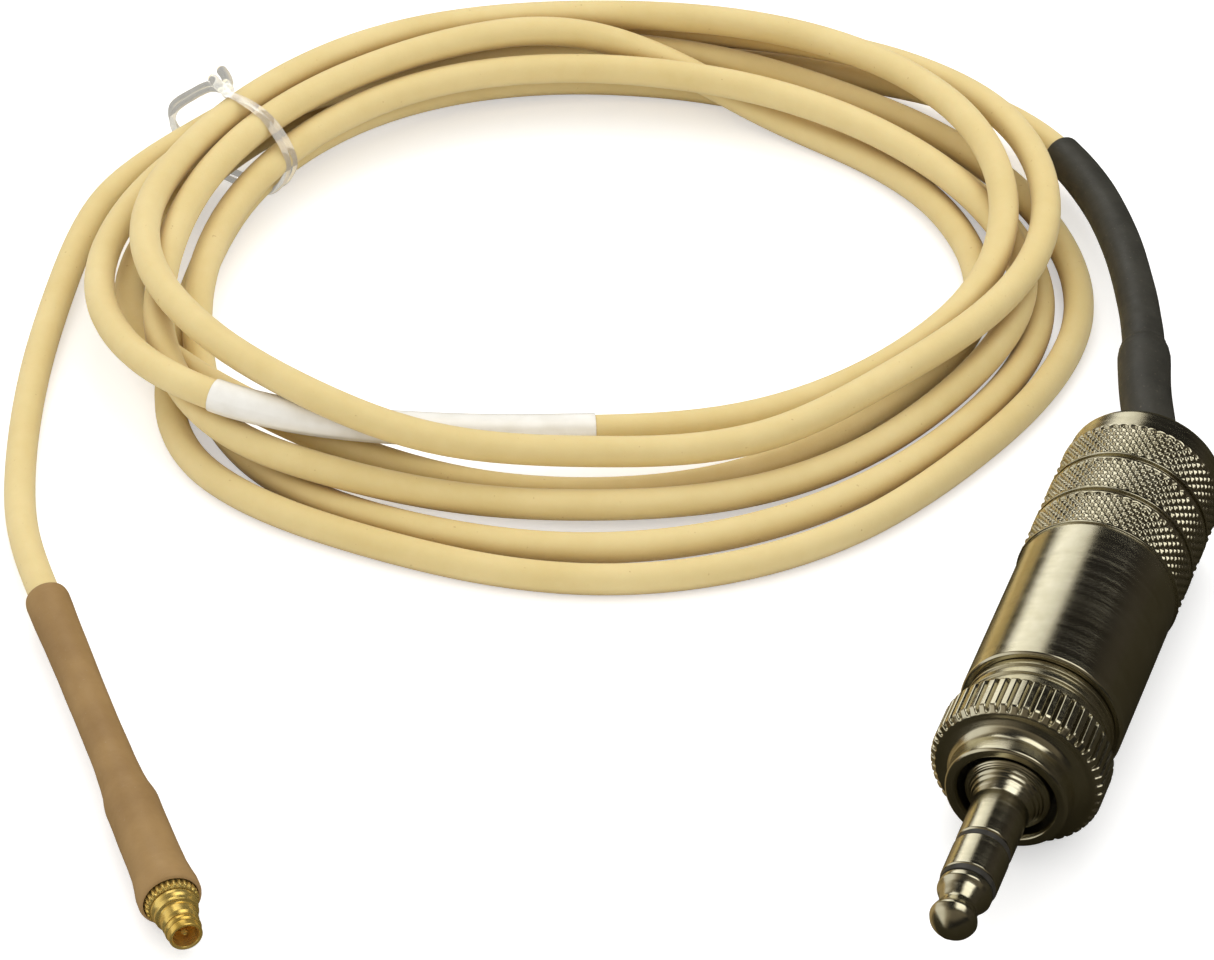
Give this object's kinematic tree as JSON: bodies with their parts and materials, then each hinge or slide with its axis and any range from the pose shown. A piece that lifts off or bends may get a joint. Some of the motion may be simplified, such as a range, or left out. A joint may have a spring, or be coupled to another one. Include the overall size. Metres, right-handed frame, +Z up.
{
  "type": "headset microphone cable",
  "caption": "Coiled detachable headset microphone cable with a locking 3.5 mm plug on one end and a gold micro coaxial snap plug on the other.",
  "frame": {"origin": "middle of the footprint of the whole coiled cable, on the surface it rests on", "axes": "+Z up, the cable lies flat; +Y from the two plugs towards the back of the coil; +X to the jack plug's side"},
  "size_m": [0.0771, 0.0932, 0.0107],
  "materials": {
    "nickel": "bright nickel plate, slightly warm",
    "brass_collar": "turned brass, dull",
    "gold": "gold flash over brass, satin",
    "dark_plastic": "black moulded insulator",
    "clear_film": "thin translucent insulating sleeve",
    "terminal": "tinned terminal",
    "black_heatshrink": "charcoal heat-shrink, faint sheen",
    "brown_heatshrink": "brown heat-shrink, faint sheen",
    "tan_jacket": "skin-tone cable jacket, matte",
    "copper": "bare copper",
    "core_insulation": "white core insulation",
    "label_white": "white wrap label, blank",
    "clear_tie": "clear elastic tie",
    "ptfe": "white dielectric"
  },
  "bodies": {
    "cable_assembly": {"plug_tip": "nickel", "tip_insulator": "dark_plastic", "plug_ring": "nickel", "ring_insulator": "dark_plastic", "plug_body": "nickel", "stop_collar": "brass_collar", "cable_clamp": "terminal", "front_washer": "dark_plastic", "ring_terminal": "terminal", "rear_washer": "dark_plastic", "tip_terminal": "terminal", "heatshrink_inner": "black_heatshrink", "heatshrink_outer": "black_heatshrink", "cable_jacket": "tan_jacket", "cable_shield": "copper", "cable_insulation": "core_insulation", "cable_conductor": "copper", "cable_label": "label_white", "tie": "clear_tie", "brown_heatshrink": "brown_heatshrink", "connector_shell": "gold", "snap_ring": "gold", "dielectric": "ptfe", "centre_pin": "gold", "crimp_ferrule": "gold"},
    "nut_carrier": {"guide_ring": "dark_plastic"},
    "nut": {"lock_nut": "nickel"},
    "handle_carrier": {"handle_liner": "clear_film"},
    "handle_barrel": {"handle": "nickel"}
  },
  "joints": [
    {"name": "nut_play", "type": "slide", "parent": "cable_assembly", "child": "nut_carrier", "axis": [0.3254, 0.9456, 0], "range_m": [0, 0.0011]},
    {"name": "nut_spin", "type": "hinge", "parent": "nut_carrier", "child": "nut", "pos_m": [0.02401, -0.03472, 0.00535], "axis": [-0.3254, -0.9456, 0], "continuous": true},
    {"name": "handle_travel", "type": "slide", "parent": "cable_assembly", "child": "handle_carrier", "axis": [0.3254, 0.9456, 0], "range_m": [0, 0.0015]},
    {"name": "handle_turn", "type": "hinge", "parent": "handle_carrier", "child": "handle_barrel", "pos_m": [0.03052, -0.0158, 0.00535], "axis": [0.3254, 0.9456, 0], "range_deg": [0, 720]}
  ],
  "couplings": [
    {"joint": "handle_travel", "follows": "handle_turn", "m_per_rad": 0.00011937}
  ]
}
